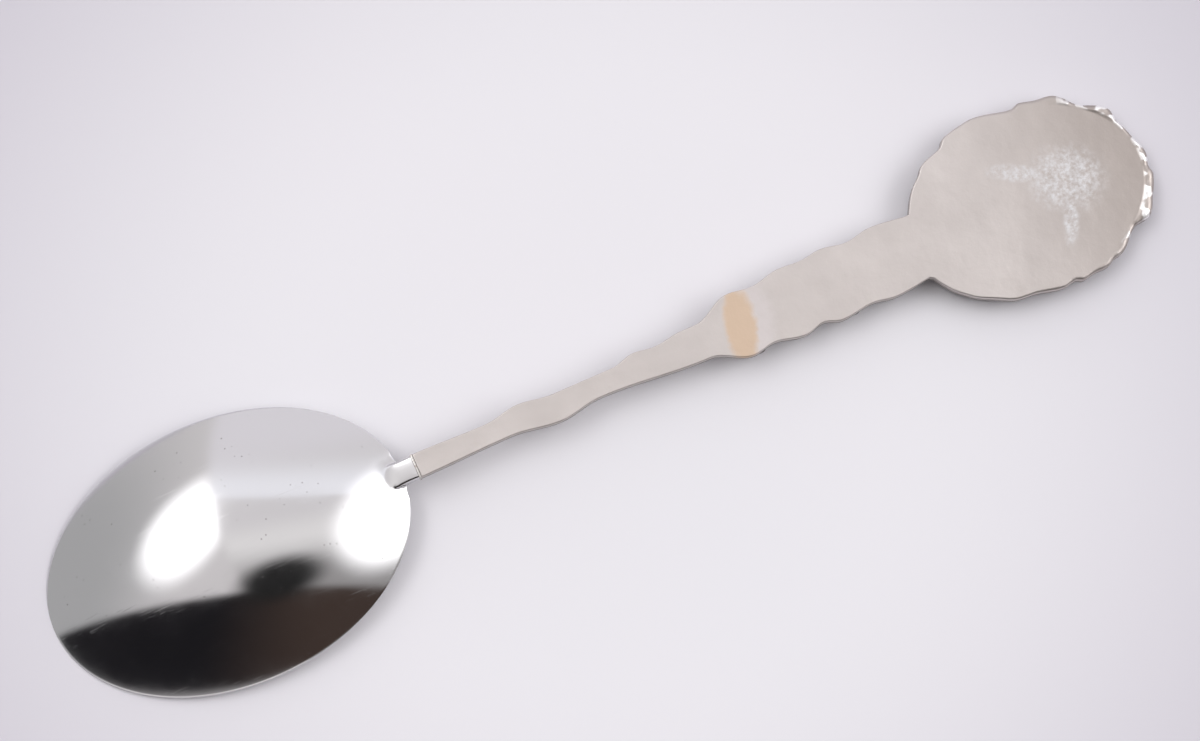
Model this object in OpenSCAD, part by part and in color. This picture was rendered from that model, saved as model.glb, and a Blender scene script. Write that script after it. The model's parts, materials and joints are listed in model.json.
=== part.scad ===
// Souvenir spoon: a pressed, plated bowl soldered into a cast handle, with an
// enamelled oval plaque glued into the front of the head. It lies face down,
// on the tip of the bowl and the end of the head, with its flat back upwards.
// Millimetres. +X runs from the bowl to the head and +Z points up. The origin
// is under the middle of the spoon, at the height of what it lies on.

/* [Bowl] */
// Length of the bowl, from its tip to its heel
bowl_l = 41.4; // [38:0.1:44]
// Width of the bowl
bowl_w = 29; // [26:0.1:31]
// Depth of the bowl, from the rim to the outside of its crown
bowl_depth = 5.8; // [5:0.1:6.5]
// Thickness of the bowl's sheet at the crown
sheet_t = 0.9; // [0.7:0.1:1.1]
// Width of the flat rim where the sheet is trimmed
rim_w = 1.1; // [0.8:0.1:1.4]
// Slope of the rim, which rises from the tip to the heel, in degrees
rim_slope = 4; // [3:0.1:4.2]
// Length of the bare neck between the bowl and the handle
neck_l = 1.7; // [1.4:0.1:2.4]
// Width of the neck
neck_w = 2.6; // [2.4:0.1:2.7]
// Length of the tang inside the handle
tang_l = 7; // [5:0.5:7.5]

/* [Handle] */
// Length of the handle, from its mouth to the end of the head
handle_l = 87; // [84:0.5:90]
// Height of the handle's flat back at the mouth
back_h = 4.1; // [4:0.1:4.3]
// Thickness of the thin stem
stem_t = 1.7; // [1.6:0.1:1.9]
// Thickness of the leafy upper stem
leaf_t = 2.1; // [2:0.1:2.3]
// Length of the oval head
head_l = 27.6; // [26:0.1:29]
// Width of the oval head
head_w = 21.2; // [20:0.1:22.5]
// Thickness of the head at its border
head_t = 2.6; // [2.5:0.1:2.7]
// Depth of the scallops round the head, as a share of their usual depth
scallops = 1; // [0.5:0.1:1.2]

/* [Plaque] */
// Length of the oval plaque
plaque_l = 20.4; // [19:0.1:21]
// Width of the oval plaque
plaque_w = 14.2; // [13.2:0.1:15]
// Thickness of the plaque's base plate
plate_t = 0.4; // [0.3:0.05:0.45]
// Height of the fences that part the colours
fence_h = 0.2; // [0.15:0.05:0.25]
// Width of those fences
fence_w = 0.3; // [0.25:0.05:0.35]
// Rise of the clear dome above the fences
dome_h = 0.25; // [0.15:0.05:0.3]
// Number of petals of the flower
petals = 6; // [5:1:6]

/* [Hidden] */
eps = 0.05;

// Bowl: how much of an ellipsoid its cap is, and how finely it is divided
cap_angle = 30;
cap_rings = 12;
oval_sides = 56;

// Joint between the bowl and the handle, in the handle's own frame
neck_t = 1.4;
neck_top = -0.1;
neck_reach = 4.2;
tang_w = 1.3;
tang_t = 0.7;
tang_mid = -0.65;
solder_gap = 0.1;
bead_l = 0.25;
bead_lip = 0.12;
tang_root = 1.2;

// The neck thins and flares where it leaves the heel of the bowl
neck_lift = 0.25;
root_lift = 0.35;
root_run = 0.9;
root_t = 0.3;
root_flare = 0.9;
mid_flare = 0.35;
mid_run = 0.4;
flare_end = 0.6;

// Stem: distance from the mouth and half-width at each crest and hollow of its
// edges. The two sides differ, because the leaf buds on it alternate.
left_edge = [[0, 1.35], [8.5, 1.15], [12.5, 1.75], [16.5, 1.25], [23.5, 1.25],
             [26.3, 1.85], [28.7, 1.55], [32, 1.95], [33.7, 1.95], [38.2, 3.65],
             [41, 3.35], [44.5, 3.95], [47, 3.8], [49.5, 4.1], [52.5, 3.65],
             [55.5, 4.1], [61, 3.6]];
right_edge = [[0, 1.35], [10.5, 1.15], [16.3, 1.85], [21, 1.2], [33.7, 2.05],
              [38.3, 3.7], [40.7, 3.3], [44.3, 3.95], [46.5, 3.45], [48.7, 4.05],
              [52.3, 3.65], [55, 4.05], [61, 3.5]];
edge_step = 1;
leaf_x = 36;
web_t = 1.2;
stem_bevel = 0.4;
leaf_bevel = 0.6;

// Head: how far its edge stands out from an oval at each crest and hollow, by
// angle in degrees from the end of the head. The two ends meet in the stem.
head_edge = [[-180, 0.9], [-150, 0.55], [-139, 0.42], [-125, 0.15], [-119, 0.2],
             [-106, -0.27], [-94, -0.05], [-88, -0.3], [-84, 0.1], [-79, 0],
             [-71, 0.3], [-67, 0.1], [-63, 0.25], [-48, -0.42], [-38, 0.6],
             [-27, 0.28], [-16, 0.27], [-10, -0.17], [-3, 0], [11, -0.46],
             [15, -0.46], [18, -0.22], [21, -0.4], [32, 0.35], [47, -0.38],
             [60, 0.33], [70, -0.12], [76, -0.1], [81, -0.6], [103, 0.28],
             [115, 0.4], [121, -0.1], [133, 0.35], [138, 0.13], [146, 0.2],
             [158, 0.15], [180, 0.9]];
head_step = 2;
stem_overlap = 1.4;
head_floor = 1.6;
border_bevel = 0.5;
crest_in = 1;
fit_gap = 0.05;
glue_t = 0.1;
glue_in = 0.3;
dome_in = 0.1;

// Flower and leaves on the plaque
petal_r = 1.2;
petal_ring = 2.9;
heart_r = 1.05;
leaf_r = 2.6;
leaf_half_w = 0.8;
leaf_root = 4.3;
leaf_gap = 1;
leaf_angle = 38;

// The handle lies on the crest of the head's border, so this is how far its
// back slopes down from the mouth to the end of the head
rest_l = handle_l - crest_in;
tilt = asin(back_h / norm([rest_l, head_t])) - atan(head_t / rest_l);
spoon_l = bowl_l * cos(rim_slope) + neck_l + handle_l * cos(tilt);
tip_x = -spoon_l / 2;
mouth_x = spoon_l / 2 - handle_l * cos(tilt);
head_x = handle_l - head_l / 2;
stem_l = head_x - head_l / 2 + stem_overlap;
plate_z = -head_floor - glue_t;
fence_z = plate_z - plate_t;
enamel_z = fence_z - fence_h;

// Half-width between two crests or hollows, along a half wave of a cosine
function ease(a, b, x) =
    a[1] + (b[1] - a[1]) * (1 - cos(180 * (x - a[0]) / (b[0] - a[0]))) / 2;

function edge(keys, x, i = 0) =
    x <= keys[i + 1][0] || i == len(keys) - 2
        ? ease(keys[i], keys[i + 1], x)
        : edge(keys, x, i + 1);

function stem_points(x0, x1, inset) = concat(
    [for (x = [x0:edge_step:x1]) [x, edge(left_edge, x) - inset]],
    [for (x = [x0:edge_step:x1]) [x0 + x1 - x, inset - edge(right_edge, x0 + x1 - x)]]);

function head_points(inset) = [
    for (t = [-180:head_step:180 - head_step])
        let (out = scallops * edge(head_edge, t) - inset)
        [head_x + (head_l / 2 + out) * cos(t), (head_w / 2 + out) * sin(t)]];

function oval_points(l, w) = [
    for (i = [0:oval_sides - 1])
        [head_x + l / 2 * cos(360 * i / oval_sides), w / 2 * sin(360 * i / oval_sides)]];

// Rings of an ellipsoid's cap, each [length radius, width radius, height]
function cap(l, w, h) = [
    for (i = [0:cap_rings])
        let (a = cap_angle * i / cap_rings)
        [l / 2 * sin(a) / sin(cap_angle), w / 2 * sin(a) / sin(cap_angle),
         h * (cos(a) - cos(cap_angle)) / (1 - cos(cap_angle))]];

function reversed(list) = [for (i = [len(list) - 1:-1:0]) list[i]];

// A closed oval solid. Its rings run from a pole inside to a pole outside.
module oval_solid(rings) {
    n = oval_sides;
    last = len(rings) - 1;
    ring_points = [
        for (r = [1:last - 1], i = [0:n - 1])
            [rings[r][0] * cos(360 * i / n), rings[r][1] * sin(360 * i / n), rings[r][2]]];
    poles = [[0, 0, rings[0][2]], [0, 0, rings[last][2]]];
    side = [
        for (r = [0:last - 3], i = [0:n - 1])
            let (a = r * n + i, b = r * n + (i + 1) % n)
            [a, a + n, b + n, b]];
    first_cap = [for (i = [0:n - 1]) [(last - 1) * n, i, (i + 1) % n]];
    last_cap = [
        for (i = [0:n - 1])
            [(last - 1) * n + 1, (last - 2) * n + (i + 1) % n, (last - 2) * n + i]];
    polyhedron(points = concat(ring_points, poles),
               faces = concat(side, first_cap, last_cap));
}

// Puts its children in the handle's frame: the mouth at x = 0, back at z = 0
module in_handle() {
    translate([mouth_x, 0, back_h]) rotate([0, tilt, 0]) children();
}

// A layer between two depths below the flat back
module layer(top, bottom) {
    translate([0, 0, -bottom]) linear_extrude(bottom - top) children();
}

module bowl_shell() {
    inner = cap(bowl_l - 2 * rim_w, bowl_w - 2 * rim_w, bowl_depth - sheet_t);
    outer = cap(bowl_l, bowl_w, bowl_depth);
    translate([tip_x, 0, 0])
        rotate([0, -rim_slope, 0])
            translate([bowl_l / 2, 0, 0])
                oval_solid(concat(inner, reversed(outer)));
}

// Side view of the neck: level above, and below it follows the heel's sheet
module neck_side() {
    under = neck_top - neck_t;
    polygon([
        [-neck_reach, neck_top],
        [-bead_l, neck_top],
        [-bead_l, under],
        [-neck_l, under + neck_lift],
        [-neck_l - root_run, under + root_lift],
        [-neck_reach, neck_top - root_t]]);
}

// Plan of the neck, flared where it leaves the bowl
module neck_plan() {
    half = neck_w / 2;
    side = [
        [-neck_reach, half + root_flare],
        [-neck_l - mid_run, half + mid_flare],
        [-neck_l + flare_end, half],
        [0, half]];
    polygon(concat(side, reversed([for (p = side) [p[0], -p[1]]])));
}

module tang(reach) {
    translate([-tang_root, -tang_w / 2, tang_mid - tang_t / 2])
        cube([tang_root + reach, tang_w, tang_t]);
}

module bowl() {
    color("gainsboro") union() {
        bowl_shell();
        in_handle() {
            intersection() {
                rotate([90, 0, 0]) linear_extrude(2 * neck_w, center = true) neck_side();
                layer(0, 2 * neck_t) neck_plan();
            }
            tang(tang_l);
        }
    }
}

// The tin-silver joint: it fills the socket and closes the mouth with a bead
module neck_solder() {
    socket = [tang_l + solder_gap, tang_w + 2 * solder_gap, tang_t + 2 * solder_gap];
    bead = [bead_l, neck_w + 2 * bead_lip, neck_t];
    color("silver") in_handle() difference() {
        union() {
            translate([0, -socket[1] / 2, tang_mid - socket[2] / 2]) cube(socket);
            translate([-bead_l, -bead[1] / 2, neck_top - neck_t]) cube(bead);
        }
        tang(tang_l);
    }
}

module handle() {
    socket = [tang_l + solder_gap + eps, tang_w + 2 * solder_gap, tang_t + 2 * solder_gap];
    color("lightgray") in_handle() difference() {
        union() {
            layer(0, web_t) polygon(stem_points(0, stem_l, 0));
            layer(web_t / 2, stem_t) polygon(stem_points(0, leaf_x, stem_bevel));
            layer(web_t / 2, leaf_t) polygon(stem_points(leaf_x - 1, stem_l, leaf_bevel));
            layer(0, head_floor) polygon(head_points(0));
            layer(head_floor / 2, head_t) polygon(head_points(border_bevel));
        }
        layer(head_floor, head_t + 1)
            polygon(oval_points(plaque_l + 2 * fit_gap, plaque_w + 2 * fit_gap));
        translate([-eps, -socket[1] / 2, tang_mid - socket[2] / 2]) cube(socket);
    }
}

module plaque_glue() {
    color("wheat") in_handle()
        layer(head_floor, -plate_z) field_plan(glue_in);
}

module petal_plan(grow) {
    for (i = [0:petals - 1])
        translate([head_x, 0]) rotate(360 * i / petals) translate([petal_ring, 0])
            circle(r = petal_r - fence_w / 2 + grow, $fn = 40);
}

module heart_plan(grow) {
    translate([head_x, 0]) circle(r = heart_r + grow, $fn = 40);
}

// A pointed leaf: where two round discs overlap
module leaf_plan(grow) {
    off = leaf_r - leaf_half_w;
    half_l = sqrt(leaf_r * leaf_r - off * off);
    for (end = [0, 180], side = [-1, 1])
        translate([head_x, 0]) rotate(end) translate([leaf_root, 0]) rotate(side * leaf_angle)
            translate([leaf_gap + half_l, 0]) intersection() {
                translate([0, off]) circle(r = leaf_r + grow, $fn = 64);
                translate([0, -off]) circle(r = leaf_r + grow, $fn = 64);
            }
}

module field_plan(inset) {
    polygon(oval_points(plaque_l - 2 * inset, plaque_w - 2 * inset));
}

module enamel_layer() {
    layer(-fence_z, -enamel_z) children();
}

module ground_plan() {
    difference() {
        field_plan(2 * fence_w);
        petal_plan(fence_w);
        heart_plan(fence_w);
        leaf_plan(fence_w);
    }
}

module plaque_plate() {
    color("goldenrod") in_handle() difference() {
        layer(-plate_z, -enamel_z) field_plan(0);
        layer(-fence_z, -enamel_z + 1) {
            ground_plan();
            petal_plan(0);
            heart_plan(0);
            leaf_plan(0);
        }
    }
}

module enamel_ground() {
    color("midnightblue") in_handle() enamel_layer() ground_plan();
}

module enamel_petals() {
    color("crimson") in_handle() enamel_layer() petal_plan(0);
}

module enamel_heart() {
    color("gold") in_handle() enamel_layer() heart_plan(0);
}

module enamel_leaves() {
    color("seagreen") in_handle() enamel_layer() leaf_plan(0);
}

module plaque_dome() {
    flat = [[0, 0, 0]];
    dome = cap(plaque_l - 2 * dome_in, plaque_w - 2 * dome_in, dome_h);
    color("aliceblue") in_handle()
        translate([head_x, 0, enamel_z]) mirror([0, 0, 1])
            oval_solid(concat(flat, reversed(dome)));
}

bowl();
handle();
neck_solder();
plaque_glue();
plaque_plate();
enamel_ground();
enamel_petals();
enamel_heart();
enamel_leaves();
plaque_dome();
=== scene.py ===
"""The finished look of a souvenir spoon that lies face down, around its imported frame.

The handle's pieces are measured in the handle's own frame, in millimetres: x runs from
the mouth, where the neck goes in, towards the head, and z is 0 on the flat back and
negative below it. Everything is placed in the row frame, in metres, before it is finished.
"""
import json
import math

import bmesh
import bpy
from mathutils import Matrix, Vector


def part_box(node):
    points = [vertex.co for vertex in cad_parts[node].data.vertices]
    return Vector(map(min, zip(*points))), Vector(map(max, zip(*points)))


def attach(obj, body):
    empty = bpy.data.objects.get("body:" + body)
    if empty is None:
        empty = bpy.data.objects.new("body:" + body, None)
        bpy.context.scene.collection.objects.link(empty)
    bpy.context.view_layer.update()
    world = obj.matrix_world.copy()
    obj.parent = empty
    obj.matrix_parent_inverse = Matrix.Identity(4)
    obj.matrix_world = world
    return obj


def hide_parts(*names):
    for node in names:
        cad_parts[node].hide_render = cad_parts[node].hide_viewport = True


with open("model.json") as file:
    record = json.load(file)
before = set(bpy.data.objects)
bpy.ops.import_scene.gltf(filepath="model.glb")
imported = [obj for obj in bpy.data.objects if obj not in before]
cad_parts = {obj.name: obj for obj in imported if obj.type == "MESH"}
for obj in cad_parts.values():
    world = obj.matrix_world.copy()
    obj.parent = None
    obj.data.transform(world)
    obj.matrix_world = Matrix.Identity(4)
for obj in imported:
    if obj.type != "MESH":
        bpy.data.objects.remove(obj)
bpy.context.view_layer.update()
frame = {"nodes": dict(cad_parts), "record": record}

bl_info = {
    "name": "Souvenir Spoon",
    "version": (1, 0, 0),
    "blender": (4, 5, 0),
    "location": "3D View > Sidebar > Spoon",
    "description": "Builds a souvenir spoon with a cast handle and an enamelled plaque",
    "category": "Add Mesh",
}

MM = 0.001

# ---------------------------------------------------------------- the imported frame
MOUNTS = {mount["name"]: mount for mount in frame["record"]["mounts"]}
BACK_POINT = Vector(MOUNTS["flat_back"]["pos_m"])
BACK_NORMAL = Vector(MOUNTS["flat_back"]["axis"])
TILT = math.atan2(BACK_NORMAL.x, BACK_NORMAL.z)
STEM_DEPTH = 1.7
TIP_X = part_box("bowl")[0].x
MOUTH_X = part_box("handle")[0].x + STEM_DEPTH * MM * math.sin(TILT)
BACK_HEIGHT = BACK_POINT.z + (BACK_POINT.x - MOUTH_X) * math.tan(TILT)
HANDLE_LENGTH = (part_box("handle")[1].x - MOUTH_X) / math.cos(TILT)
BOWL_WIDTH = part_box("bowl")[1].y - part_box("bowl")[0].y
HANDLE_FRAME = Matrix.Translation((MOUTH_X, 0, BACK_HEIGHT)) @ Matrix.Rotation(TILT, 4, "Y")
NECK = 1.7
RIM_SLOPE = math.radians(4)
BOWL_LENGTH = (MOUTH_X - NECK * MM - TIP_X) / math.cos(RIM_SLOPE)

# ---------------------------------------------------------------- shapes in millimetres
CAP_ANGLE = math.radians(30)
HEAD_SIZE = (27.6, 21.2)
HEAD_X = HANDLE_LENGTH / MM - HEAD_SIZE[0] / 2
PLAQUE_SIZE = (20.4, 14.2)
HEAD_FLOOR = 1.6
ENAMEL_DEPTH = 2.3
DOME_RISE = 0.24
BEAD = 0.25
NECK_TOP = 0.1
NECK_DEPTH = 1.4
TANG_MID = 0.65

# Distance from the mouth and half-width at each crest and hollow of the stem's edges
LEFT_EDGE = [
    (0, 1.35), (8.5, 1.15), (12.5, 1.75), (16.5, 1.25), (23.5, 1.25), (26.3, 1.85),
    (28.7, 1.55), (32, 1.95), (33.7, 1.95), (38.2, 3.65), (41, 3.35), (44.5, 3.95),
    (47, 3.8), (49.5, 4.1), (52.5, 3.65), (55.5, 4.1), (61, 3.6),
]
RIGHT_EDGE = [
    (0, 1.35), (10.5, 1.15), (16.3, 1.85), (21, 1.2), (33.7, 2.05), (38.3, 3.7),
    (40.7, 3.3), (44.3, 3.95), (46.5, 3.45), (48.7, 4.05), (52.3, 3.65), (55, 4.05),
    (61, 3.5),
]

# How far the head's edge stands out from its oval at each crest and hollow, by the
# angle in degrees from the end of the head
HEAD_EDGE = [
    (-180, 0.9), (-150, 0.55), (-139, 0.42), (-125, 0.15), (-119, 0.2), (-106, -0.27),
    (-94, -0.05), (-88, -0.3), (-84, 0.1), (-79, 0), (-71, 0.3), (-67, 0.1),
    (-63, 0.25), (-48, -0.42), (-38, 0.6), (-27, 0.28), (-16, 0.27), (-10, -0.17),
    (-3, 0), (12, -0.45), (22, -0.38), (32, 0.35),
    (47, -0.38), (60, 0.33), (70, -0.12), (76, -0.1), (81, -0.6), (103, 0.28),
    (115, 0.4), (121, -0.1), (133, 0.35), (138, 0.13), (146, 0.2), (158, 0.15),
    (180, 0.9),
]
PETAL_PITCH = 15.5


def wave(keys, x):
    """A value at x, along half cosine waves between the keys on either side."""
    for (x0, w0), (x1, w1) in zip(keys, keys[1:]):
        if x <= x1 or x1 == keys[-1][0]:
            return w0 + (w1 - w0) * (1 - math.cos(math.pi * (x - x0) / (x1 - x0))) / 2


def head_point(turn, inset=0.0):
    """A point on the head's scalloped edge, or that far inside it."""
    out = wave(HEAD_EDGE, turn) - inset
    angle = math.radians(turn)
    return (
        HEAD_X + (HEAD_SIZE[0] / 2 + out) * math.cos(angle),
        (HEAD_SIZE[1] / 2 + out) * math.sin(angle),
    )


def oval_point(size, angle):
    """A point on an oval round the middle of the head, at an angle in radians."""
    return HEAD_X + size[0] / 2 * math.cos(angle), size[1] / 2 * math.sin(angle)


def side_outline(keys, side, step, turn_step):
    """One edge of the stem, 1 for the left and -1 for the right, as far as the head,
    and the angle at which the head's edge takes over."""
    stem, x = [], 0.0
    while True:
        y = side * wave(keys, x)
        turn = 180.0
        while head_point(side * turn)[0] < x and turn > 90:
            turn -= turn_step
        if turn < 180 and abs(head_point(side * turn)[1]) >= abs(y):
            return stem, side * turn
        stem.append((x, y))
        x += step


def handle_outline(step, turn_step):
    """The outline of the whole handle: up one edge, round the head and back."""
    left, left_turn = side_outline(LEFT_EDGE, 1, step, turn_step)
    right, right_turn = side_outline(RIGHT_EDGE, -1, step, turn_step)
    count = int((left_turn - right_turn) / turn_step)
    turns = [left_turn - (left_turn - right_turn) * i / count for i in range(count + 1)]
    return left + [head_point(turn) for turn in turns] + right[::-1]


# ---------------------------------------------------------------- tools for modelling
def start_clean():
    """Leaves nothing selected and the editor in object mode."""
    if bpy.context.object and bpy.context.object.mode != "OBJECT":
        bpy.ops.object.mode_set(mode="OBJECT")
    bpy.ops.object.select_all(action="DESELECT")


def edit(obj, kind="VERT"):
    """Opens a piece for editing with nothing selected."""
    start_clean()
    obj.select_set(True)
    bpy.context.view_layer.objects.active = obj
    bpy.ops.object.mode_set(mode="EDIT")
    bpy.ops.mesh.select_mode(type=kind)
    bpy.ops.mesh.select_all(action="DESELECT")


def pick(test, kind="verts"):
    """Selects just those verts, edges or faces of the piece being edited that pass."""
    data = bpy.context.object.data
    mesh = bmesh.from_edit_mesh(data)
    bpy.ops.mesh.select_all(action="DESELECT")
    for part in getattr(mesh, kind):
        if test(part):
            part.select_set(True)
    bmesh.update_edit_mesh(data)


def middle(edge):
    """The middle of an edge."""
    return (edge.verts[0].co + edge.verts[1].co) / 2


def named(name):
    """Gives the piece just added its name and returns it."""
    obj = bpy.context.object
    obj.name = obj.data.name = name
    return obj


def place(obj, matrix):
    """Moves a piece as the matrix says, and keeps the place in its mesh."""
    start_clean()
    obj.matrix_world = matrix
    obj.select_set(True)
    bpy.context.view_layer.objects.active = obj
    bpy.ops.object.transform_apply(location=True, rotation=True, scale=True)


def apply_modifier(obj, kind, **settings):
    """Adds a modifier to a piece and applies it."""
    start_clean()
    obj.select_set(True)
    bpy.context.view_layer.objects.active = obj
    made = obj.modifiers.new(kind, kind)
    for key, value in settings.items():
        setattr(made, key, value)
    bpy.ops.object.modifier_apply(modifier=made.name)


def join_or_cut(obj, other, operation):
    """Unites a piece with another closed mesh or cuts that mesh out of it."""
    apply_modifier(obj, "BOOLEAN", object=other, operation=operation, solver="MANIFOLD")
    bpy.data.objects.remove(other)


def tidy_surface(obj):
    """Merges doubles and turns every face outwards."""
    edit(obj)
    bpy.ops.mesh.select_all(action="SELECT")
    bpy.ops.mesh.remove_doubles(threshold=0.0005 * MM)
    bpy.ops.mesh.normals_make_consistent(inside=False)
    start_clean()


def shade(obj, degrees):
    """Shades a piece smooth apart from edges sharper than an angle."""
    start_clean()
    obj.select_set(True)
    bpy.context.view_layer.objects.active = obj
    bpy.ops.object.shade_smooth_by_angle(angle=math.radians(degrees))


def hand_over(obj, material, slot, *nodes):
    """Gives a finished piece its material and its body, and hides the nodes it stands for. The slot is not
    used.
    """
    obj.data.materials.clear()
    obj.data.materials.append(material)
    for face in obj.data.polygons:
        face.material_index = 0
    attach(obj, "root")
    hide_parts(*nodes)


# ---------------------------------------------------------------- tools for materials
def linear(colour):
    """A linear RGBA colour from an sRGB hex value."""
    parts = [int(colour[i:i + 2], 16) / 255 for i in (1, 3, 5)]
    return [c / 12.92 if c <= 0.04045 else ((c + 0.055) / 1.055) ** 2.4 for c in parts] + [1.0]


def add(tree, kind, inputs=None, **settings):
    """Adds a node, sets its properties, and fills its sockets with values or links."""
    made = tree.nodes.new(kind)
    for key, value in settings.items():
        setattr(made, key, value)
    for socket, value in (inputs or {}).items():
        if isinstance(value, bpy.types.NodeSocket):
            tree.links.new(value, made.inputs[socket])
        else:
            made.inputs[socket].default_value = value
    return made


def blank_material(name):
    """A material with an empty node tree."""
    made = bpy.data.materials.new(name)
    made.use_nodes = True
    made.node_tree.nodes.clear()
    return made, made.node_tree


def millimetres(tree, in_handle=False):
    """Object coordinates in millimetres, in the row frame or in the handle's frame."""
    place_of = {"Location": (MOUTH_X, 0, BACK_HEIGHT), "Rotation": (0, TILT, 0)} if in_handle else {}
    coords = add(tree, "ShaderNodeTexCoord").outputs["Object"]
    return add(
        tree, "ShaderNodeMapping",
        {"Vector": coords, "Scale": (MM, MM, MM), **place_of},
        vector_type="TEXTURE",
    ).outputs[0]


def spread(tree, value, low, high, at_low=0.0, at_high=1.0, smooth=False):
    """A value spread from one range over another, and held at its ends."""
    return add(
        tree, "ShaderNodeMapRange",
        {"Value": value, "From Min": low, "From Max": high, "To Min": at_low, "To Max": at_high},
        interpolation_type="SMOOTHSTEP" if smooth else "LINEAR",
    ).outputs[0]


def times(tree, a, b):
    """The product of two values."""
    return add(tree, "ShaderNodeMath", {0: a, 1: b}, operation="MULTIPLY").outputs[0]


def blend(tree, share, low, high):
    """One colour turning into another."""
    return add(tree, "ShaderNodeMix", {0: share, 6: low, 7: high}, data_type="RGBA").outputs[2]


def bumped(tree, strength, distance, height):
    """The normal over bumps of a depth in millimetres."""
    return add(
        tree, "ShaderNodeBump", {"Strength": strength, "Distance": distance * MM, "Height": height},
    ).outputs[0]


def finished(material, tree, inputs):
    """Ends a material in a shader with those inputs."""
    shader = add(tree, "ShaderNodeBsdfPrincipled", inputs).outputs[0]
    add(tree, "ShaderNodeOutputMaterial", {"Surface": shader})
    return material


# ---------------------------------------------------------------- materials
def bright_chrome_plate():
    """Bright nickel-chrome plate on pressed and polished steel.

    A mirror with a faint haze from wiping, hairlines a few hundredths of a millimetre
    wide, drawn 0.1 mm wide so that they show, and small pits that crowd in places.
    """
    material, tree = blank_material("bright_chrome_plate_on_pressed_steel")
    mm = millimetres(tree)
    haze = add(tree, "ShaderNodeTexNoise", {"Vector": mm, "Scale": 0.22, "Detail": 4.0, "Roughness": 0.6})
    along = add(
        tree, "ShaderNodeMapping",
        {"Vector": mm, "Rotation": (0, 0, 0.5), "Scale": (0.12, 9.0, 1.0)},
    )
    hair = add(tree, "ShaderNodeTexNoise", {"Vector": along.outputs[0], "Scale": 1.0, "Detail": 2.0})
    hairline = spread(tree, hair.outputs["Fac"], 0.66, 0.74)
    cells = add(tree, "ShaderNodeTexVoronoi", {"Vector": mm, "Scale": 1.4, "Randomness": 1.0})
    spot = spread(tree, cells.outputs["Distance"], 0.06, 0.2, 0.8, 0.0, smooth=True)
    chance = add(tree, "ShaderNodeSeparateColor", {"Color": cells.outputs["Color"]})
    rare = add(tree, "ShaderNodeMath", {0: chance.outputs[0], 1: 0.62}, operation="GREATER_THAN")
    crowd = spread(tree, haze.outputs["Fac"], 0.46, 0.58)
    likely = times(tree, crowd, rare.outputs[0])
    pit = times(tree, spot, likely)
    marks = add(
        tree, "ShaderNodeMath", {0: hairline, 1: 0.35, 2: pit},
        operation="MULTIPLY_ADD", use_clamp=True,
    )
    rough = spread(tree, haze.outputs["Fac"], 0.3, 0.7, 0.08, 0.14)
    rougher = add(
        tree, "ShaderNodeMath", {0: marks.outputs[0], 1: 0.18, 2: rough},
        operation="MULTIPLY_ADD",
    )
    colour = blend(tree, pit, linear("#d9d8da"), linear("#a8a5a5"))
    sunk = times(tree, marks.outputs[0], -1.0)
    bump = bumped(tree, 0.35, 0.01, sunk)
    return finished(
        material, tree,
        {"Base Color": colour, "Metallic": 1.0, "Roughness": rougher.outputs[0],
         "Normal": bump},
    )


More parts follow.
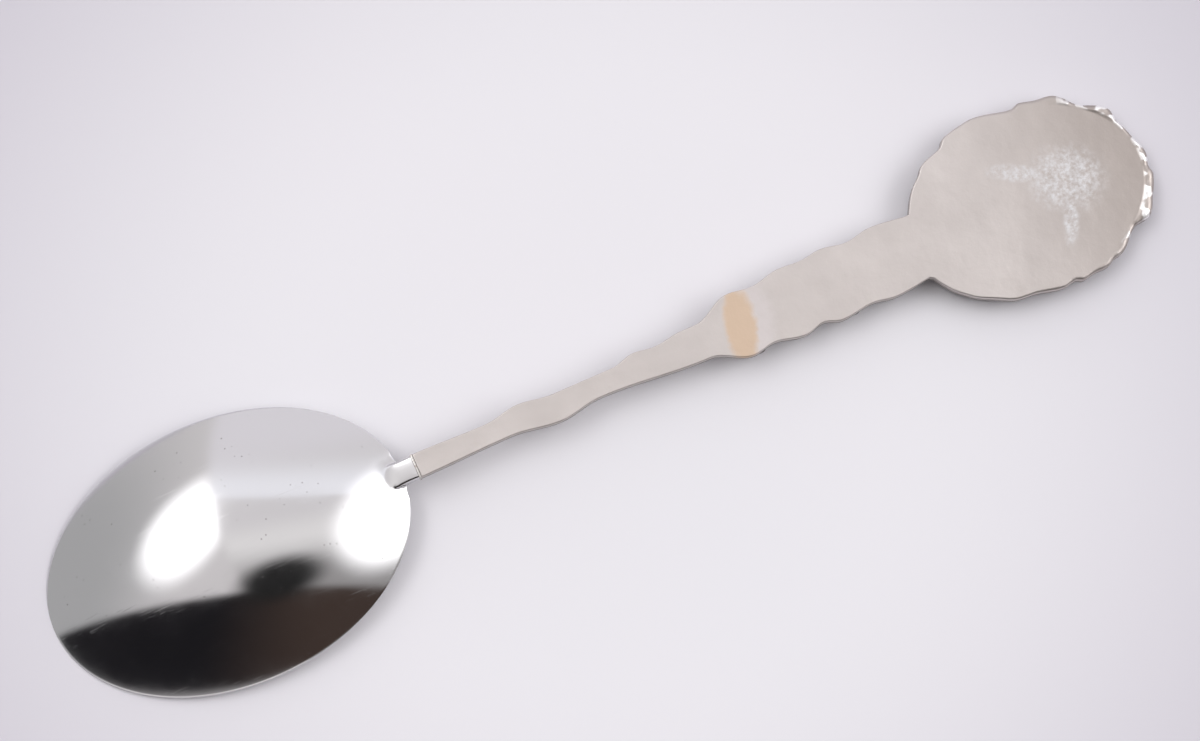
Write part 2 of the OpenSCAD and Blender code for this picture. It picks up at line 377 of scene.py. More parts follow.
def satin_nickel_casting():
    """Satin nickel plate on a zinc casting, as it comes from a rubber mould.

    The flat back is grey with a warm cast and slightly uneven, the plate is worn
    through to its copper strike in one oval patch, and the middle of the head is scuffed
    white. Painted shade darkens the outer end of the head, the side walls and the
    hollows of the relief, and painted highlights glint on the rim at the outer end.
    """
    material, tree = blank_material("satin_nickel_plate_on_zinc_casting")
    mm = millimetres(tree, in_handle=True)
    parts = add(tree, "ShaderNodeSeparateXYZ", {0: mm})

    def oval(x, y, length, width, turn, soft):
        """1 inside a slanted oval that is worn into the back, and 0 outside it."""
        at = add(
            tree, "ShaderNodeMapping",
            {"Vector": mm, "Location": (x, y, 0), "Rotation": (0, 0, math.radians(turn)),
             "Scale": (length / 2, width / 2, 1e3)},
            vector_type="TEXTURE",
        )
        reach = add(tree, "ShaderNodeVectorMath", {0: at.outputs[0]}, operation="LENGTH")
        ragged = add(tree, "ShaderNodeTexNoise", {"Vector": mm, "Scale": 0.9, "Detail": 3.0})
        edge = add(
            tree, "ShaderNodeMath", {0: ragged.outputs["Fac"], 1: 0.5, 2: reach.outputs["Value"]},
            operation="MULTIPLY_ADD",
        )
        return add(
            tree, "ShaderNodeMapRange",
            {"Value": edge.outputs[0], "From Min": 1.25 - soft, "From Max": 1.25 + soft,
             "To Min": 1.0, "To Max": 0.0},
            interpolation_type="SMOOTHSTEP",
        ).outputs[0]

    cloud = add(tree, "ShaderNodeTexNoise", {"Vector": mm, "Scale": 0.16, "Detail": 5.0, "Roughness": 0.55})
    cloudy = spread(tree, cloud.outputs["Fac"], 0.35, 0.65)
    colour = blend(tree, cloudy, linear("#cbc4c1"), linear("#d1cac7"))

    # Painted shade: the outer end of the head is painted darker, standing in for the darker reflection it
    # takes
    outer = spread(tree, parts.outputs["X"], HEAD_X - 9, HEAD_X + 14, smooth=True)
    colour = blend(tree, outer, colour, linear("#b0a7a2"))

    # Only the back, down to where the side walls begin, has the marks that follow
    back = spread(tree, parts.outputs["Z"], -0.9, -0.6, smooth=True)

    def on_back(mark):
        """A mark's share of the colour, kept off the front."""
        return times(tree, mark, back)

    # A whitish scuff across the middle of the head, mottled at about 0.7 mm
    mottle = add(tree, "ShaderNodeTexNoise", {"Vector": mm, "Scale": 1.4, "Detail": 6.0, "Roughness": 0.7})
    patches = spread(tree, mottle.outputs["Fac"], 0.4, 0.62)
    across = oval(HEAD_X + 4.4, 0.4, 7.4, 6.4, -24, 0.45)
    upper_tail = oval(HEAD_X - 0.2, 3.0, 6.4, 1.8, -28, 0.4)
    lower_tail = oval(HEAD_X + 2.9, -4.0, 5.0, 1.6, 65, 0.4)
    tails = add(tree, "ShaderNodeMath", {0: upper_tail, 1: lower_tail}, operation="MAXIMUM")
    scuffed = add(tree, "ShaderNodeMath", {0: across, 1: tails.outputs[0]}, operation="MAXIMUM")
    scuff = times(tree, scuffed.outputs[0], patches)
    colour = blend(tree, on_back(scuff), colour, linear("#d9d8da"))

    # The oval patch of bare copper strike, with a paler halo on its head side
    halo = on_back(oval(39.3, 0.0, 5.2, 8.6, -14, 0.3))
    colour = blend(tree, halo, colour, linear("#d5cecd"))
    copper = on_back(oval(38.2, -0.1, 3.4, 8.4, -14, 0.22))
    colour = blend(tree, copper, colour, linear("#d3bda8"))

    # Painted shade: the hollows of the relief on the front are painted darker, where shade would fall, and
    # its crests keep the plate's colour
    depth = spread(tree, parts.outputs["Z"], -STEM_DEPTH, -1.25, smooth=True)
    below = add(tree, "ShaderNodeMath", {0: parts.outputs["Z"], 1: -1.05}, operation="LESS_THAN")
    hollow = times(tree, depth, below.outputs[0])
    dark = times(tree, hollow, 0.8)
    colour = blend(tree, dark, colour, linear("#4a4643"))

    # Painted shade: the side walls are painted darker than the back, standing in for the shade and dark
    # floor they reflect
    wall = spread(tree, parts.outputs["Z"], -0.6, -0.3, 0.55, 0.0, smooth=True)
    behind = spread(tree, parts.outputs["Z"], -1.5, -1.25, smooth=True)
    wall_painted_shade = times(tree, wall, behind)
    # Painted shade on the side walls
    colour = blend(tree, wall_painted_shade, colour, linear("#7d7671"))

    grain = add(tree, "ShaderNodeTexNoise", {"Vector": mm, "Scale": 3.2, "Detail": 4.0, "Roughness": 0.6})
    swell = add(tree, "ShaderNodeTexNoise", {"Vector": mm, "Scale": 0.35, "Detail": 2.0})
    even = add(
        tree, "ShaderNodeMath", {0: swell.outputs["Fac"], 1: 6.0, 2: grain.outputs["Fac"]},
        operation="MULTIPLY_ADD",
    )

    # The rim at the outer end was filed by hand, in facets about 1 mm long; the facets are a bump, and the
    # glints on them are painted highlights of near-white colour
    from_middle = add(
        tree, "ShaderNodeMapping",
        {"Vector": mm, "Location": (HEAD_X, 0, 0), "Scale": (HEAD_SIZE[0] / 2, HEAD_SIZE[1] / 2, 1e3)},
        vector_type="TEXTURE",
    )
    reach = add(tree, "ShaderNodeVectorMath", {0: from_middle.outputs[0]}, operation="LENGTH")
    rim = spread(tree, reach.outputs["Value"], 0.92, 0.96, smooth=True)
    far_end = spread(tree, parts.outputs["X"], HEAD_X + 5, HEAD_X + 10, smooth=True)
    facets = add(tree, "ShaderNodeTexNoise", {"Vector": mm, "Scale": 0.7, "Detail": 1.0})
    filed = times(tree, on_back(rim), far_end)
    glint = spread(tree, facets.outputs["Fac"], 0.49, 0.57, smooth=True)
    # Painted highlight: near-white glints on the rim at the outer end
    rim_glints_painted = times(tree, filed, glint)
    colour = blend(tree, rim_glints_painted, colour, linear("#fbfafa"))
    cut = times(tree, filed, facets.outputs["Fac"])
    height = add(
        tree, "ShaderNodeMath", {0: cut, 1: 16.0, 2: even.outputs[0]},
        operation="MULTIPLY_ADD",
    )
    bump = bumped(tree, 0.5, 0.03, height.outputs[0])
    rough = spread(tree, cloud.outputs["Fac"], 0.3, 0.7, 0.36, 0.44)
    duller = add(
        tree, "ShaderNodeMath", {0: copper, 1: 0.12, 2: rough}, operation="MULTIPLY_ADD",
    )
    return finished(
        material, tree,
        {"Base Color": colour, "Metallic": 1.0, "Roughness": duller.outputs[0],
         "Normal": bump},
    )


def tin_silver_solder():
    """Tin-silver solder, run in and left as it set: bright, slightly frosted, with a
    brown trace of flux beside the bead."""
    material, tree = blank_material("tin_silver_solder_as_set")
    mm = millimetres(tree, in_handle=True)
    frost = add(tree, "ShaderNodeTexNoise", {"Vector": mm, "Scale": 3.0, "Detail": 4.0})
    flux = spread(tree, frost.outputs["Fac"], 0.52, 0.66, 0.0, 0.7)
    colour = blend(tree, flux, linear("#dad7d4"), linear("#9c8478"))
    rough = spread(tree, frost.outputs["Fac"], 0.3, 0.7, 0.2, 0.38)
    bump = bumped(tree, 0.5, 0.02, frost.outputs["Fac"])
    return finished(
        material, tree,
        {"Base Color": colour, "Metallic": 1.0, "Roughness": rough,
         "Normal": bump},
    )


def cured_epoxy():
    """A thin line of cured two-part epoxy: amber, glossy, with small bubbles."""
    material, tree = blank_material("cured_amber_epoxy")
    mm = millimetres(tree, in_handle=True)
    bubbles = add(tree, "ShaderNodeTexVoronoi", {"Vector": mm, "Scale": 1.6})
    bubble = spread(tree, bubbles.outputs["Distance"], 0.1, 0.25, 1.0, 0.0)
    colour = blend(tree, bubble, linear("#d9bf86"), linear("#f0e2bd"))
    return finished(material, tree, {"Base Color": colour, "Roughness": 0.25, "IOR": 1.55})


def gilt_brass():
    """Stamped brass with a thin gilt wash: warm yellow metal, a fine stamped grain of
    about 0.15 mm, and duller low spots."""
    material, tree = blank_material("gilt_wash_on_stamped_brass")
    mm = millimetres(tree, in_handle=True)
    grain = add(tree, "ShaderNodeTexNoise", {"Vector": mm, "Scale": 6.0, "Detail": 3.0})
    worn = add(tree, "ShaderNodeTexNoise", {"Vector": mm, "Scale": 0.6, "Detail": 4.0})
    colour = blend(tree, worn.outputs["Fac"], linear("#e3b95e"), linear("#c8923f"))
    rough = spread(tree, worn.outputs["Fac"], 0.3, 0.7, 0.2, 0.34)
    bump = bumped(tree, 0.4, 0.01, grain.outputs["Fac"])
    return finished(
        material, tree,
        {"Base Color": colour, "Metallic": 1.0, "Roughness": rough,
         "Normal": bump},
    )


def soft_enamel(name, light, deep):
    """Soft enamel, a baked resin paint run between the fences: deep colour that pools
    darker in places, a smooth gloss, and a slight orange peel at about 0.5 mm."""
    material, tree = blank_material(name)
    mm = millimetres(tree, in_handle=True)
    pool = add(tree, "ShaderNodeTexNoise", {"Vector": mm, "Scale": 0.7, "Detail": 3.0})
    pooled = spread(tree, pool.outputs["Fac"], 0.35, 0.65)
    colour = blend(tree, pooled, linear(light), linear(deep))
    peel = add(tree, "ShaderNodeTexNoise", {"Vector": mm, "Scale": 2.0, "Detail": 1.0})
    bump = bumped(tree, 0.3, 0.02, peel.outputs["Fac"])
    return finished(
        material, tree,
        {"Base Color": colour, "Roughness": 0.16, "IOR": 1.5, "Normal": bump},
    )


def clear_resin():
    """Clear domed polyurethane resin: water-clear, glossy, with a faint ripple."""
    material, tree = blank_material("clear_domed_resin")
    mm = millimetres(tree, in_handle=True)
    ripple = add(tree, "ShaderNodeTexNoise", {"Vector": mm, "Scale": 0.3, "Detail": 1.0})
    bump = bumped(tree, 0.15, 0.05, ripple.outputs["Fac"])
    return finished(
        material, tree,
        {"Base Color": linear("#fbfdff"), "Roughness": 0.04, "IOR": 1.5,
         "Transmission Weight": 1.0, "Normal": bump},
    )


def matt_paper():
    """A sheet of matt coated paper, nearly white with a faint lilac cast, with a tooth
    of about 0.4 mm that only just shows."""
    material, tree = blank_material("matt_white_paper")
    mm = millimetres(tree)
    tooth = add(tree, "ShaderNodeTexNoise", {"Vector": mm, "Scale": 2.5, "Detail": 3.0})
    cast = add(tree, "ShaderNodeTexNoise", {"Vector": mm, "Scale": 0.02, "Detail": 1.0})
    middle_tone = blend(tree, cast.outputs["Fac"], linear("#f2eff4"), linear("#efeef3"))
    # Painted light falloff: the sheet is painted brightest round the spoon, and greyer from 30 to 110 mm
    # away, where the light would fall off
    off_middle = add(tree, "ShaderNodeVectorMath", {0: mm}, operation="LENGTH")
    end = spread(tree, off_middle.outputs["Value"], 30.0, 110.0, smooth=True)
    colour = blend(tree, end, middle_tone, linear("#cac5d0"))
    bump = bumped(tree, 0.1, 0.03, tooth.outputs["Fac"])
    return finished(
        material, tree,
        {"Base Color": colour, "Roughness": 0.85, "Specular IOR Level": 0.2,
         "Normal": bump},
    )


# ---------------------------------------------------------------- sizes and colours to change
class SpoonSizes(bpy.types.PropertyGroup):
    """Sizes of the spoon's finished pieces."""

    bowl_length: bpy.props.FloatProperty(
        name="Bowl length", description="Length of the bowl from its tip to its heel",
        default=BOWL_LENGTH, unit="LENGTH",
    )
    bowl_width: bpy.props.FloatProperty(
        name="Bowl width", description="Width of the bowl", default=BOWL_WIDTH, unit="LENGTH",
    )
    bowl_depth: bpy.props.FloatProperty(
        name="Bowl depth", description="Height of the bowl's crown above its rim",
        default=5.8 * MM, unit="LENGTH",
    )
    sheet: bpy.props.FloatProperty(
        name="Sheet", description="Thickness of the bowl's sheet at its crown",
        default=0.9 * MM, unit="LENGTH",
    )
    rim: bpy.props.FloatProperty(
        name="Rim", description="Width of the flat rim of the bowl", default=1.1 * MM, unit="LENGTH",
    )
    rim_round: bpy.props.FloatProperty(
        name="Rim rounding", description="Rounding of the trimmed rim", default=0.12 * MM, unit="LENGTH",
    )
    back_round: bpy.props.FloatProperty(
        name="Back rounding", description="Widest rounding round the back of the head",
        default=0.6 * MM, unit="LENGTH",
    )
    petal_count: bpy.props.IntProperty(
        name="Border petals", description="Petals on each side of the end of the head", default=11,
    )
    bezel_beads: bpy.props.IntProperty(
        name="Bezel beads", description="Beads in the ring round the plaque", default=58,
    )


class SpoonColours(bpy.types.PropertyGroup):
    """Colours of the plaque's enamels."""

    ground: bpy.props.StringProperty(
        name="Ground", description="sRGB hex colour of the enamel ground", default="#1d3a86",
    )
    petals: bpy.props.StringProperty(
        name="Petals", description="sRGB hex colour of the flower's petals", default="#c2213a",
    )
    heart: bpy.props.StringProperty(
        name="Heart", description="sRGB hex colour of the flower's heart", default="#efb52b",
    )
    leaves: bpy.props.StringProperty(
        name="Leaves", description="sRGB hex colour of the leaves", default="#2f8049",
    )


# ---------------------------------------------------------------- the pieces
class SPOON_OT_bowl(bpy.types.Operator):
    """Press the bowl, with its neck and tang, from one sheet"""

    bl_idname = "spoon.bowl"
    bl_label = "Bowl"

    def execute(self, context):
        sizes = context.scene.spoon_sizes
        start_clean()
        bpy.ops.mesh.primitive_uv_sphere_add(segments=192, ring_count=360, radius=1)
        bowl = named("bowl_shell")
        length, width, depth = sizes.bowl_length, sizes.bowl_width, sizes.bowl_depth

        # The outside is a cap of a sphere, drawn out into an oval
        edit(bowl)
        bpy.ops.mesh.select_all(action="SELECT")
        bpy.ops.mesh.bisect(
            plane_co=(0, 0, math.cos(CAP_ANGLE)), plane_no=(0, 0, 1),
            clear_inner=True, threshold=1e-5,
        )
        bpy.ops.mesh.select_all(action="SELECT")
        bpy.ops.transform.translate(value=(0, 0, -math.cos(CAP_ANGLE)))
        reach = math.sin(CAP_ANGLE)
        bpy.ops.transform.resize(
            value=(length / 2 / reach, width / 2 / reach, depth / (1 - math.cos(CAP_ANGLE))),
            center_override=(0, 0, 0),
        )

        # The inside is the same cap made smaller, and the rim joins the two
        bpy.ops.mesh.duplicate()
        bpy.ops.transform.resize(
            value=(1 - 2 * sizes.rim / length, 1 - 2 * sizes.rim / width, 1 - sizes.sheet / depth),
            center_override=(0, 0, 0),
        )
        bpy.ops.mesh.flip_normals()
        bpy.ops.mesh.select_mode(type="EDGE")
        pick(lambda edge: edge.is_boundary, "edges")
        bpy.ops.mesh.bridge_edge_loops()
        start_clean()
        slope = Matrix.Rotation(-RIM_SLOPE, 4, "Y")
        place(bowl, Matrix.Translation((TIP_X, 0, 0)) @ slope @ Matrix.Translation((length / 2, 0, 0)))

        # The neck grows out of the heel as far as the solder, and thickens towards it
        heel = MOUTH_X - NECK * MM
        start = heel - 1.75 * MM
        neck_mid = BACK_HEIGHT - 0.85 * MM
        thicker = 1.7
        bead = MOUTH_X - BEAD * MM
        half = 1.45 * MM
        edit(bowl, "FACE")
        mesh = bmesh.from_edit_mesh(bowl.data)
        mesh.normal_update()
        pick(
            lambda face: face.normal.z > 0.3
            and face.calc_center_median().x > start
            and abs(face.calc_center_median().y) < half,
            "faces",
        )
        low = max(vert.co.z for vert in mesh.verts if vert.select)
        high = neck_mid + thicker * (low - neck_mid)
        bpy.ops.mesh.extrude_region_move(TRANSFORM_OT_translate={"value": (bead - heel, 0, 0)})
        bpy.ops.transform.resize(value=(0, 0.93, thicker), center_override=(bead, 0, neck_mid))
        bpy.ops.mesh.select_mode(type="EDGE")
        pick(
            lambda edge: abs(edge.verts[0].co.x - edge.verts[1].co.x) > 1.2 * MM
            and abs(middle(edge).y) < half + 0.1 * MM,
            "edges",
        )
        bpy.ops.mesh.subdivide(number_cuts=9)

        # The tang, a narrow strip of the same sheet that goes into the handle
        bpy.ops.mesh.select_mode(type="FACE")
        pick(
            lambda face: face.calc_center_median().x > bead - 0.005 * MM
            and abs(face.calc_center_median().y) < 0.7 * MM
            and abs(face.calc_center_median().z - BACK_HEIGHT + TANG_MID * MM) < 0.35 * MM,
            "faces",
        )
        bpy.ops.mesh.extrude_region_move(TRANSFORM_OT_translate={"value": (7 * MM, 0, -0.12 * MM)})
        bpy.ops.transform.resize(value=(1, 0.8, 0.8), center_override=(bead, 0, BACK_HEIGHT - 0.8 * MM))

        # Crown the neck, round the trimmed edges, and blend the neck into the heel
        bpy.ops.mesh.select_mode(type="EDGE")
        rise = (high - low) / (bead - start)
        pick(
            lambda edge: heel - 1.2 * MM < middle(edge).x < bead
            and middle(edge).z > low + rise * (middle(edge).x - start) - 0.05 * MM
            and abs(middle(edge).y) > 1.2 * MM
            and abs(edge.verts[0].co.x - edge.verts[1].co.x) > 0.1 * MM,
            "edges",
        )
        bpy.ops.mesh.bevel(offset=0.5 * MM, segments=4, clamp_overlap=True)
        pick(
            lambda edge: edge.is_manifold and edge.calc_face_angle(0) > math.radians(60)
            and middle(edge).x < bead - 0.05 * MM,
            "edges",
        )
        bpy.ops.mesh.bevel(offset=sizes.rim_round, segments=3, clamp_overlap=True)
        bpy.ops.mesh.select_mode(type="VERT")
        pick(
            lambda vert: heel - 2.6 * MM < vert.co.x < bead - 0.3 * MM
            and abs(vert.co.y) < 2.3 * MM
            and vert.co.z > (vert.co.x - TIP_X) * math.tan(RIM_SLOPE) + 0.25 * MM,
        )
        bpy.ops.mesh.vertices_smooth(factor=0.5, repeat=12)
        pick(
            lambda vert: heel - 0.9 * MM < vert.co.x < heel + 0.8 * MM
            and 1.0 * MM < abs(vert.co.y) < 2.6 * MM and vert.normal.z < 0.9,
        )
        bpy.ops.mesh.vertices_smooth(factor=0.5, repeat=8, zaxis=False)
        start_clean()
        tidy_surface(bowl)
        shade(bowl, 42)
        hand_over(bowl, bright_chrome_plate(), "plated_bowl", "bowl")
        return {"FINISHED"}


def stem_relief():
    """The swells of the ridge, leaf buds and leaves on the front of the stem."""
    swells = [(17, 0, 1.2, 44, 1.5, 1.0, 0), (48, 0, 1.3, 30, 1.5, 1.6, 0)]
    for x, side in ((12.5, 1), (16.3, -1), (26.3, 1), (30.0, -1), (33.5, 1), (33.7, -1)):
        swells.append((x - 0.6, side * 0.75, 1.2, 4.2, 1.1, 0.9, 20 * side))
    for x, width in ((37.2, 3.5), (43.0, 3.8), (48.4, 4.0), (54.0, 4.0), (59.0, 3.8)):
        for side in (-1, 1):
            swells.append((x, side * width * 0.48, 1.25, 6.4, 2.5, 1.35, 33 * side))
            swells.append((x + 0.3, side * width * 0.46, 1.6, 5.0, 0.6, 0.9, 33 * side))
        swells.append((x - 1.0, 0, 1.7, 1.5, 1.3, 0.8, 0))
    return swells


def head_relief(petal_count, bead_count):
    """The swells of the petals and of the beads round the plaque."""
    swells = []
    ring = (PLAQUE_SIZE[0] + 0.95, PLAQUE_SIZE[1] + 0.95)
    for i in range(-petal_count, petal_count + 1):
        turn = i * PETAL_PITCH
        outer = Vector(head_point(turn, 0.35))
        inner = Vector(oval_point(ring, math.radians(turn)))
        run = outer - inner
        at = inner + run / 2
        way = math.degrees(math.atan2(run.y, run.x))
        swells.append((at.x, at.y, 1.75, run.length * 1.02, 2.75, 1.66, way))
        vein = inner + run * 0.6
        swells.append((vein.x, vein.y, 2.1, run.length * 0.6, 0.5, 0.98, way))
    for i in range(bead_count):
        at = oval_point(ring, math.tau * i / bead_count)
        swells.append((*at, 2.15, 0.8, 0.8, 0.8, 0))
    return swells


def add_swells(base, swells):
    """Joins egg-shaped swells onto a piece, each a copy of one sphere. A swell is its
    middle's x, y and depth, its length, width and height, and its turn in degrees."""
    start_clean()
    bpy.ops.mesh.primitive_uv_sphere_add(segments=20, ring_count=12, radius=0.5)
    egg = named("swell")
    for x, y, depth, length, width, height, turn in swells:
        each = egg.copy()
        each.data = egg.data.copy()
        at = Matrix.Translation((x, y, -depth)) @ Matrix.Rotation(math.radians(turn), 4, "Z")
        each.data.transform(Matrix.Scale(MM, 4) @ at @ Matrix.Diagonal((length, width, height, 1)))
        bpy.context.collection.objects.link(each)
        each.select_set(True)
    bpy.data.objects.remove(egg)
    base.select_set(True)
    bpy.context.view_layer.objects.active = base
    bpy.ops.object.join()


class SPOON_OT_handle(bpy.types.Operator):
    """Cast the handle: a flat back, scalloped edges and a relief on the front"""

    bl_idname = "spoon.handle"
    bl_label = "Handle"

    def execute(self, context):
        sizes = context.scene.spoon_sizes
        outline = handle_outline(step=0.4, turn_step=1.25)
        start_clean()
        bpy.ops.mesh.primitive_circle_add(vertices=len(outline), radius=MM, fill_type="NGON")
        handle = named("handle_casting")
        for vert, (x, y) in zip(handle.data.vertices, outline):
            vert.co = (x * MM, y * MM, 0)
        tidy_surface(handle)
        edit(handle, "FACE")
        bpy.ops.mesh.select_all(action="SELECT")
        if bmesh.from_edit_mesh(handle.data).faces[:][0].normal.z > 0:
            bpy.ops.mesh.flip_normals()
        bpy.ops.mesh.extrude_region_move(TRANSFORM_OT_translate={"value": (0, 0, -1.3 * MM)})
        start_clean()
        tidy_surface(handle)

        # The back's edge is nearly square on the stem and well rounded round the head
        weights = handle.data.attributes.new("bevel_weight_edge", "FLOAT", "EDGE")
        points = handle.data.vertices
        for edge in handle.data.edges:
            a, b = (points[i].co for i in edge.vertices)
            if a.z > -0.1 * MM and b.z > -0.1 * MM:
                reach = ((a.x + b.x) / 2 / MM - HEAD_X + 13) / 24
                reach = min(max(reach, 0.0), 1.0)
                weights.data[edge.index].value = 0.22 + 0.78 * reach
        apply_modifier(
            handle, "BEVEL", width=sizes.back_round, segments=5, limit_method="WEIGHT",
            use_clamp_overlap=False,
        )
        edit(handle, "FACE")
        pick(lambda face: face.normal.z > 0.999 and len(face.verts) > 20, "faces")
        bpy.ops.mesh.inset(thickness=0.06 * MM)
        start_clean()

        # The relief, made of swells that a remesh melts into one skin
        bpy.ops.mesh.primitive_cylinder_add(
            vertices=96, radius=MM, depth=1.0 * MM, location=(HEAD_X * MM, 0, -1.4 * MM),
        )
        relief = named("relief")
        edit(relief)
        bpy.ops.mesh.select_all(action="SELECT")
        bpy.ops.transform.resize(
            value=(HEAD_SIZE[0] / 2 - 1.2, HEAD_SIZE[1] / 2 - 1.2, 1),
            center_override=(HEAD_X * MM, 0, -1.4 * MM),
        )
        start_clean()
        place(relief, relief.matrix_world.copy())
        add_swells(relief, stem_relief() + head_relief(sizes.petal_count, sizes.bezel_beads))
        relief.data.remesh_voxel_size = 0.17 * MM
        bpy.ops.object.voxel_remesh()
        apply_modifier(relief, "SMOOTH", factor=0.5, iterations=3)
        join_or_cut(handle, relief, "UNION")

        # The pocket for the plaque and the socket for the tang
        bpy.ops.mesh.primitive_cylinder_add(
            vertices=128, radius=MM, depth=2 * MM, location=(HEAD_X * MM, 0, -(HEAD_FLOOR + 1) * MM),
        )
        pocket = named("pocket")
        place(pocket, pocket.matrix_world @ Matrix.Diagonal(
            (PLAQUE_SIZE[0] / 2 + 0.05, PLAQUE_SIZE[1] / 2 + 0.05, 1, 1)))
        join_or_cut(handle, pocket, "DIFFERENCE")
        bpy.ops.mesh.primitive_cube_add(size=MM, location=(3.5 * MM, 0, -TANG_MID * MM))
        socket = named("socket")
        place(socket, socket.matrix_world @ Matrix.Diagonal((7.4, 1.5, 0.9, 1)))
        join_or_cut(handle, socket, "DIFFERENCE")

        place(handle, HANDLE_FRAME)
        shade(handle, 38)
        hand_over(handle, satin_nickel_casting(), "cast_handle", "handle")
        return {"FINISHED"}


class SPOON_OT_solder(bpy.types.Operator):
    """Run the solder: a bead at the mouth and a thin sleeve round the tang"""

    bl_idname = "spoon.solder"
    bl_label = "Solder"

    def execute(self, context):
        start_clean()
        bpy.ops.mesh.primitive_cube_add(
            size=MM, location=(-BEAD / 2 * MM, 0, -(NECK_TOP + NECK_DEPTH / 2) * MM),
        )
        solder = named("solder_joint")
        place(solder, solder.matrix_world @ Matrix.Diagonal((BEAD, 2.84, NECK_DEPTH, 1)))
        edit(solder, "EDGE")
        pick(
            lambda edge: middle(edge).x < -0.1 * MM or abs(middle(edge).x + BEAD / 2 * MM) < 0.01 * MM,
            "edges",
        )
        bpy.ops.mesh.bevel(offset=0.1 * MM, segments=4)
        start_clean()
        bpy.ops.mesh.primitive_cube_add(size=MM, location=(3.5 * MM, 0, -TANG_MID * MM))
        sleeve = named("sleeve")
        place(sleeve, sleeve.matrix_world @ Matrix.Diagonal((7.2, 1.48, 0.88, 1)))
        join_or_cut(solder, sleeve, "UNION")
        place(solder, HANDLE_FRAME)
        shade(solder, 35)
        hand_over(solder, tin_silver_solder(), "solder", "neck_solder")
        return {"FINISHED"}


class SPOON_OT_plaque(bpy.types.Operator):
    """Finish the plaque's glue, plate and enamels, which keep the frame's own meshes"""

    bl_idname = "spoon.plaque"
    bl_label = "Plaque"

    def execute(self, context):
        colours = context.scene.spoon_colours
        finishes = {
            "plaque_glue": cured_epoxy(),
            "plaque_plate": gilt_brass(),
            "enamel_ground": soft_enamel("blue_soft_enamel", colours.ground, "#152c6c"),
            "enamel_petals": soft_enamel("red_soft_enamel", colours.petals, "#9c1530"),
            "enamel_heart": soft_enamel("yellow_soft_enamel", colours.heart, "#d99a1c"),
            "enamel_leaves": soft_enamel("green_soft_enamel", colours.leaves, "#1f6237"),
        }
        for node, finish in finishes.items():
            data = frame["nodes"][node].data
            data.materials.clear()
            data.materials.append(finish)
        return {"FINISHED"}


class SPOON_OT_dome(bpy.types.Operator):
    """Pour the clear resin dome over the enamels"""

    bl_idname = "spoon.dome"
    bl_label = "Dome"

    def execute(self, context):
        start_clean()
        bpy.ops.mesh.primitive_uv_sphere_add(segments=96, ring_count=120, radius=1)
        dome = named("resin_dome")
        edit(dome)
        bpy.ops.mesh.select_all(action="SELECT")
        bpy.ops.mesh.bisect(
            plane_co=(0, 0, math.cos(CAP_ANGLE)), plane_no=(0, 0, 1),
            clear_inner=True, use_fill=True, threshold=1e-5,
        )
        bpy.ops.mesh.select_all(action="SELECT")
        bpy.ops.transform.translate(value=(0, 0, -math.cos(CAP_ANGLE)))
        reach = math.sin(CAP_ANGLE)
        length, width = PLAQUE_SIZE[0] - 0.2, PLAQUE_SIZE[1] - 0.2
        rise = DOME_RISE * MM / (1 - math.cos(CAP_ANGLE))
        bpy.ops.transform.resize(
            value=(length / 2 * MM / reach, width / 2 * MM / reach, rise),
            center_override=(0, 0, 0),
        )
        start_clean()
        over_enamel = Matrix.Translation((HEAD_X * MM, 0, -(ENAMEL_DEPTH + 0.01) * MM))
        place(dome, HANDLE_FRAME @ over_enamel @ Matrix.Rotation(math.pi, 4, "X"))
        tidy_surface(dome)
        shade(dome, 25)
        hand_over(dome, clear_resin(), "clear_resin", "plaque_dome")
        return {"FINISHED"}


# ---------------------------------------------------------------- the stage
CAMERA_AZIMUTH = math.radians(-23.9)
CAMERA_ELEVATION = math.radians(82)
CAMERA_DISTANCE = 307 * MM
CAMERA_TARGET = Vector((0.28, 1.61, 3)) * MM
LAMP_LIGHT = 3.6


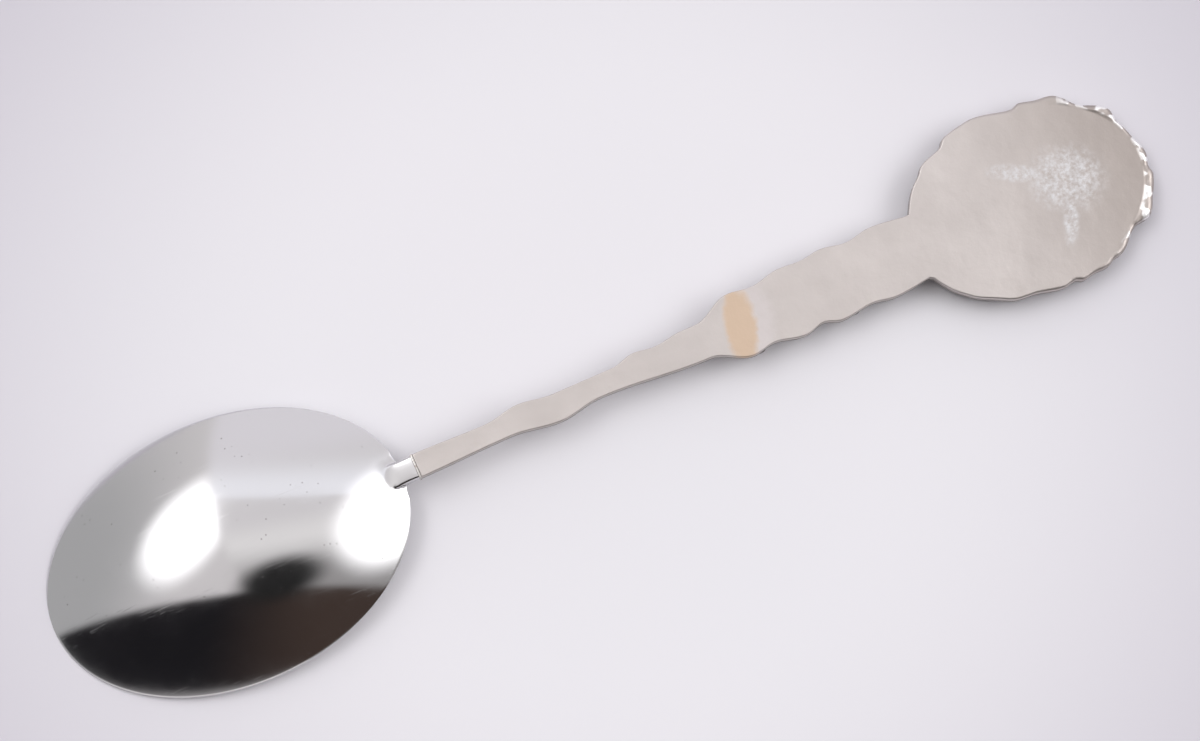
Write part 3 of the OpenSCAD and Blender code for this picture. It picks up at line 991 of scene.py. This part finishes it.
def studio_sky():
    """Soft studio light from all round: grey walls, two large soft lamps to the left
    and right of the camera, and a dark flag on the camera's own side."""
    world = bpy.data.worlds.new("studio")
    bpy.context.scene.world = world
    world.use_nodes = True
    tree = world.node_tree
    tree.nodes.clear()
    way = add(tree, "ShaderNodeTexCoord").outputs["Generated"]
    right = Vector((math.cos(CAMERA_AZIMUTH), math.sin(CAMERA_AZIMUTH), 0))
    away = Vector((-math.sin(CAMERA_AZIMUTH), math.cos(CAMERA_AZIMUTH), 0))

    def studio(r, a, u):
        """A direction in the row frame from one to the right, away and up."""
        return right * r + away * a + Vector((0, 0, u))

    def share(direction):
        """How far each direction of the sky goes along one direction."""
        return add(
            tree, "ShaderNodeVectorMath", {0: way, 1: tuple(direction)}, operation="DOT_PRODUCT",
        ).outputs["Value"]

    def ramp(value, low, high):
        """0 below low and 1 above high, or the other way round where low is the greater."""
        if low > high:
            return spread(tree, value, high, low, 1.0, 0.0, smooth=True)
        return spread(tree, value, low, high, smooth=True)

    def lamp(middle_way, long_way, half_long, half_short, soft):
        """1 inside an oval lamp on the sky, and 0 outside it."""
        to = studio(*middle_way).normalized()
        long_axis = studio(*long_way)
        long_axis = (long_axis - to * long_axis.dot(to)).normalized()
        short_axis = to.cross(long_axis)
        across = add(
            tree, "ShaderNodeCombineXYZ",
            {0: share(long_axis / half_long), 1: share(short_axis / half_short)},
        )
        reach = add(tree, "ShaderNodeVectorMath", {0: across.outputs[0]}, operation="LENGTH")
        inside = ramp(reach.outputs["Value"], 1 + soft, 1 - soft)
        return times(tree, inside, ramp(share(to), 0.2, 0.3))

    def light(value, tint=(1, 1, 1)):
        """A colour of light of that strength."""
        return [value * c for c in tint] + [1.0]

    up = share((0, 0, 1))
    off = share(away)
    cross = share(right)
    corner = studio(-0.903, -0.393, -0.174)

    # Wall on the left, ceiling and wall on the right, and the bright strip between
    left_wall = ramp(share(corner), -0.03, 0.05)
    level = share(away + right * 0.22)
    near, far = light(0.98, (1, 0.98, 0.97)), light(0.84, (1, 0.97, 0.98))
    ceiling = blend(tree, ramp(off, 0.30, 0.0), far, near)
    strip = times(tree, ramp(level, 0.41, 0.45), ramp(level, 0.85, 0.5))
    ceiling = blend(tree, strip, ceiling, light(1.12, (0.99, 0.99, 1.03)))
    ceiling = blend(tree, ramp(off, 0.6, 0.9), ceiling, light(0.92, (1, 0.97, 1.01)))
    ceiling = blend(tree, ramp(off, 0.02, -0.42), ceiling, light(0.40, (1, 0.97, 0.96)))
    wall = blend(tree, ramp(cross, -0.9, -0.35), light(0.50), light(0.80, (1, 0.965, 0.965)))
    sky = blend(tree, left_wall, ceiling, wall)

    # The lamps
    left_lamp = lamp((-0.475, 0.29, 0.83), (0.14, 0.76, -0.2), 0.35, 0.2, 0.75)
    left_lamp = times(tree, left_lamp, ramp(share(corner), -0.02, 0.06))
    right_lamp = lamp((0.73, 0.07, 0.68), (-0.05, 1, 0.1), 0.37, 0.27, 0.55)
    sky = blend(tree, left_lamp, sky, light(LAMP_LIGHT))
    sky = blend(tree, right_lamp, sky, light(LAMP_LIGHT))

    # The dark flag and the camera's own outline
    edge = share(away + right * 0.12)
    flag = times(tree, ramp(edge, -0.42, -0.49), ramp(up, 0.10, 0.26))
    cool, warm = light(0.014, (1, 0.95, 1.1)), light(0.05, (1.3, 0.9, 0.75))
    dark = blend(tree, ramp(cross, -0.2, 0.5), cool, warm)
    sky = blend(tree, flag, sky, dark)
    knob = lamp((0.2, -0.39, 0.9), (1, -0.15, 0), 0.24, 0.2, 0.4)
    sky = blend(tree, knob, sky, light(0.02))

    lit = add(tree, "ShaderNodeBackground", {"Color": sky, "Strength": 1.0})
    add(tree, "ShaderNodeOutputWorld", {"Surface": lit.outputs[0]})


class SPOON_OT_stage(bpy.types.Operator):
    """Lay out the paper, the soft light and the camera"""

    bl_idname = "spoon.stage"
    bl_label = "Stage"

    def execute(self, context):
        start_clean()
        bpy.ops.mesh.primitive_plane_add(size=6)
        paper = named("paper")
        paper.data.materials.append(matt_paper())
        studio_sky()

        a, e = CAMERA_AZIMUTH, CAMERA_ELEVATION
        back = Vector((math.sin(a) * math.cos(e), -math.cos(a) * math.cos(e), math.sin(e)))
        bpy.ops.object.camera_add(location=CAMERA_TARGET + back * CAMERA_DISTANCE)
        camera = bpy.context.object
        camera.name = "camera"
        camera.rotation_euler = (math.pi / 2 - e, 0, a)
        camera.data.lens = 85
        camera.data.sensor_width = 36
        camera.data.clip_start = 10 * MM
        context.scene.camera = camera
        context.scene.view_settings.view_transform = "Standard"
        return {"FINISHED"}


class SPOON_PT_build(bpy.types.Panel):
    """Lists the spoon's pieces, its sizes and its colours"""

    bl_label = "Souvenir Spoon"
    bl_idname = "SPOON_PT_build"
    bl_space_type = "VIEW_3D"
    bl_region_type = "UI"
    bl_category = "Spoon"

    def draw(self, context):
        column = self.layout.column()
        for group in (context.scene.spoon_sizes, context.scene.spoon_colours):
            for name in group.__annotations__:
                column.prop(group, name)
        for piece in PIECES:
            column.operator(piece.bl_idname)


PIECES = (SPOON_OT_bowl, SPOON_OT_handle, SPOON_OT_solder, SPOON_OT_plaque, SPOON_OT_dome, SPOON_OT_stage)
CLASSES = (SpoonSizes, SpoonColours, *PIECES, SPOON_PT_build)


def register():
    for each in CLASSES:
        bpy.utils.register_class(each)
    bpy.types.Scene.spoon_sizes = bpy.props.PointerProperty(type=SpoonSizes)
    bpy.types.Scene.spoon_colours = bpy.props.PointerProperty(type=SpoonColours)


def unregister():
    del bpy.types.Scene.spoon_colours
    del bpy.types.Scene.spoon_sizes
    for each in reversed(CLASSES):
        bpy.utils.unregister_class(each)


def main():
    register()
    for piece in PIECES:
        group, name = piece.bl_idname.split(".")
        getattr(getattr(bpy.ops, group), name)()


if __name__ == "__main__":
    main()
